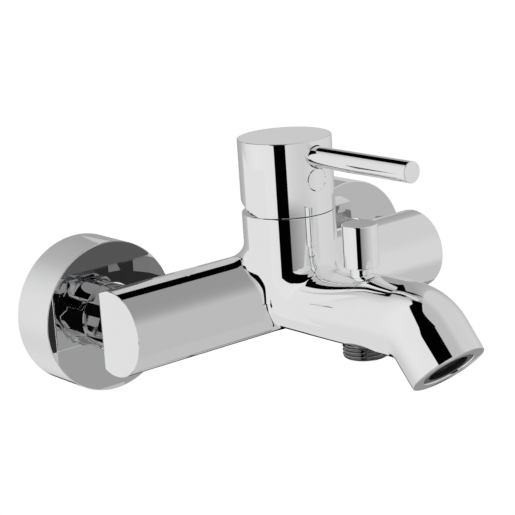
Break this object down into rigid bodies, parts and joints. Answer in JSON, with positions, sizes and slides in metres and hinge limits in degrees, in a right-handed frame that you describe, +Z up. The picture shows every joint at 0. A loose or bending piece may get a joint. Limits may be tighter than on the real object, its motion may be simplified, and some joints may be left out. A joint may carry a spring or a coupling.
{
  "type": "wall mounted bath faucet",
  "caption": "Exposed single lever bath mixer with round tower, level arms, angled oval spout, pull-up diverter knob, threaded shower outlet and round wall roses.",
  "frame": {"origin": "on the wall plane, midway between the two inlets, at the height of the inlet axis", "axes": "+Z up, +Y into the wall, +X to the right seen from the front; the spout points to -Y"},
  "size_m": [0.2196, 0.1961, 0.1107],
  "materials": {
    "chrome": "bright polished chrome plating",
    "brass": "turned, uncoated",
    "steel": "turned stainless steel",
    "ceramic": "lapped alumina ceramic",
    "white_plastic": "moulded",
    "grey_plastic": "moulded",
    "rubber": "moulded seal rubber"
  },
  "bodies": {
    "fixed_body": {"body_casting": "chrome", "left_inlet_tail": "brass", "right_inlet_tail": "brass", "left_union_nut": "chrome", "right_union_nut": "chrome", "left_inlet_washer": "rubber", "right_inlet_washer": "rubber", "left_eccentric_union": "brass", "right_eccentric_union": "brass", "left_escutcheon": "chrome", "right_escutcheon": "chrome", "cartridge_base": "grey_plastic", "hot_base_seal": "rubber", "cold_base_seal": "rubber", "outlet_base_seal": "rubber", "fixed_disc": "ceramic", "cartridge_housing": "grey_plastic", "cartridge_nut": "brass", "dome_ring": "chrome", "diverter_bush": "chrome", "gland_seal": "rubber", "diverter_spring": "steel", "shower_nipple": "chrome", "nipple_seal": "rubber", "check_valve_body": "white_plastic", "check_spring": "steel", "aerator_housing": "grey_plastic", "aerator_insert": "white_plastic", "aerator_screen": "steel", "aerator_washer": "rubber"},
    "guide": {"spindle_guide": "white_plastic", "pivot_pin": "steel"},
    "lever": {"handle_cap": "chrome", "lever_rod": "chrome", "grub_screw": "steel", "index_button": "chrome", "spindle": "steel"},
    "disc_slider": {"disc_carrier": "white_plastic", "moving_disc": "ceramic"},
    "diverter": {"diverter_knob": "chrome", "knob_set_screw": "steel", "diverter_stem": "brass", "lower_valve_seal": "rubber", "valve_plate": "brass", "upper_valve_seal": "rubber", "plate_nut": "brass"},
    "poppet": {"check_poppet": "white_plastic"}
  },
  "joints": [
    {"name": "temperature_turn", "type": "hinge", "parent": "fixed_body", "child": "guide", "pos_m": [0, -0.06593, 0.038], "axis": [0, 0, 1], "range_deg": [-50, 50]},
    {"name": "flow_lift", "type": "hinge", "parent": "guide", "child": "lever", "pos_m": [0, -0.06593, 0.038], "axis": [-1, 0, 0], "range_deg": [0, 22]},
    {"name": "disc_shift", "type": "slide", "parent": "guide", "child": "disc_slider", "axis": [0, -1, 0], "range_m": [0, 0.0036]},
    {"name": "diverter_pull", "type": "slide", "parent": "fixed_body", "child": "diverter", "axis": [0, 0, 1], "range_m": [0, 0.008], "stiffness_N_per_m": 80, "springref_m": -0.02, "deforming": ["diverter_spring"]},
    {"name": "poppet_slide", "type": "slide", "parent": "fixed_body", "child": "poppet", "axis": [0, 0, -1], "range_m": [0, 0.001], "stiffness_N_per_m": 20, "springref_m": -0.002, "deforming": ["check_spring"]}
  ],
  "couplings": [
    {"joint": "disc_shift", "follows": "flow_lift", "m_per_rad": 0.00927}
  ]
}
